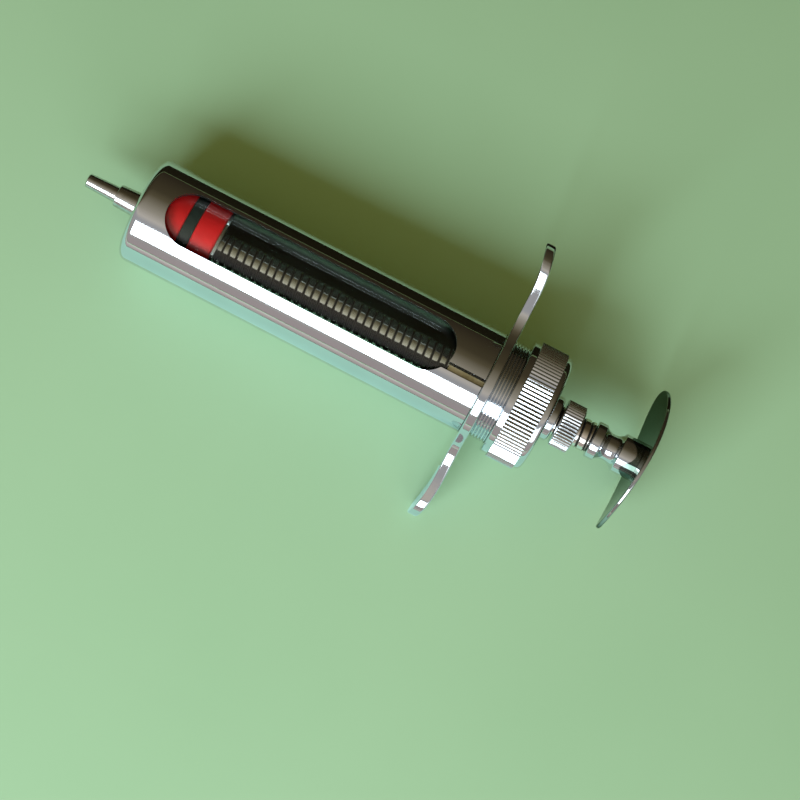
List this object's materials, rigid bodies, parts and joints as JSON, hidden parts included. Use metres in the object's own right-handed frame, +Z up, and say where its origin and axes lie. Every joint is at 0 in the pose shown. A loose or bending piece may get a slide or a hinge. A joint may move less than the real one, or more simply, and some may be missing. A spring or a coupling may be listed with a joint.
{
  "type": "reusable dosing syringe",
  "caption": "Metal and glass dosing syringe with slip tip, windowed sleeve, screw cap, threaded plunger rod, dose nut, finger plate and thumb plate.",
  "frame": {"origin": "centre of the slip tip's end face", "axes": "+X along the syringe's axis towards the thumb plate, +Z up from the table it lies on, +Y towards the raised wing"},
  "size_m": [0.1694, 0.08, 0.0384],
  "materials": {
    "chrome": "mirror-bright chromium plate on brass",
    "nickel_steel": "satin nickel plate",
    "glass": "clear polished",
    "red_rubber": "smooth moulded",
    "black_rubber": "smooth moulded",
    "brass": "dull turned",
    "fibre": "pressed fibre",
    "nylon": "natural nylon"
  },
  "bodies": {
    "barrel": {"luer_nozzle": "nickel_steel", "barrel_sleeve": "chrome", "front_gasket": "black_rubber", "glass_cylinder": "glass", "centering_ring": "brass", "finger_plate": "chrome"},
    "cap_slide": {"rear_gasket": "fibre"},
    "cap": {"screw_cap": "chrome", "rod_guide_bush": "chrome"},
    "piston": {"front_piston_washer": "nickel_steel", "front_piston_rubber": "red_rubber", "piston_spacer": "black_rubber", "rear_piston_rubber": "red_rubber", "rear_piston_washer": "nickel_steel"},
    "plunger": {"piston_nut": "nickel_steel", "plunger_rod": "nickel_steel", "thumb_handle": "chrome", "thumb_plate": "chrome", "thumb_rivet": "chrome"},
    "nut_slide": {"dose_nut_friction_ring": "nylon"},
    "nut": {"dose_nut": "chrome"}
  },
  "joints": [
    {"name": "cap_travel", "type": "slide", "parent": "barrel", "child": "cap_slide", "axis": [1, 0, 0], "range_m": [0, 0.009]},
    {"name": "cap_turn", "type": "hinge", "parent": "cap_slide", "child": "cap", "pos_m": [0.134, 0, 0], "axis": [1, 0, 0], "range_deg": [0, 3600.5]},
    {"name": "plunger_slide", "type": "slide", "parent": "cap_slide", "child": "piston", "axis": [1, 0, 0], "range_m": [-0.00065, 0.0951]},
    {"name": "rod_turn", "type": "hinge", "parent": "piston", "child": "plunger", "pos_m": [0.1, 0, 0], "axis": [1, 0, 0], "continuous": true},
    {"name": "nut_travel", "type": "slide", "parent": "plunger", "child": "nut_slide", "axis": [1, 0, 0], "range_m": [0, 0.0042]},
    {"name": "nut_turn", "type": "hinge", "parent": "nut_slide", "child": "nut", "pos_m": [0.1464, 0, 0], "axis": [1, 0, 0], "range_deg": [0, 670]}
  ],
  "couplings": [
    {"joint": "cap_turn", "follows": "cap_travel", "rad_per_m": 6981.3},
    {"joint": "nut_turn", "follows": "nut_travel", "rad_per_m": 2771.6}
  ]
}
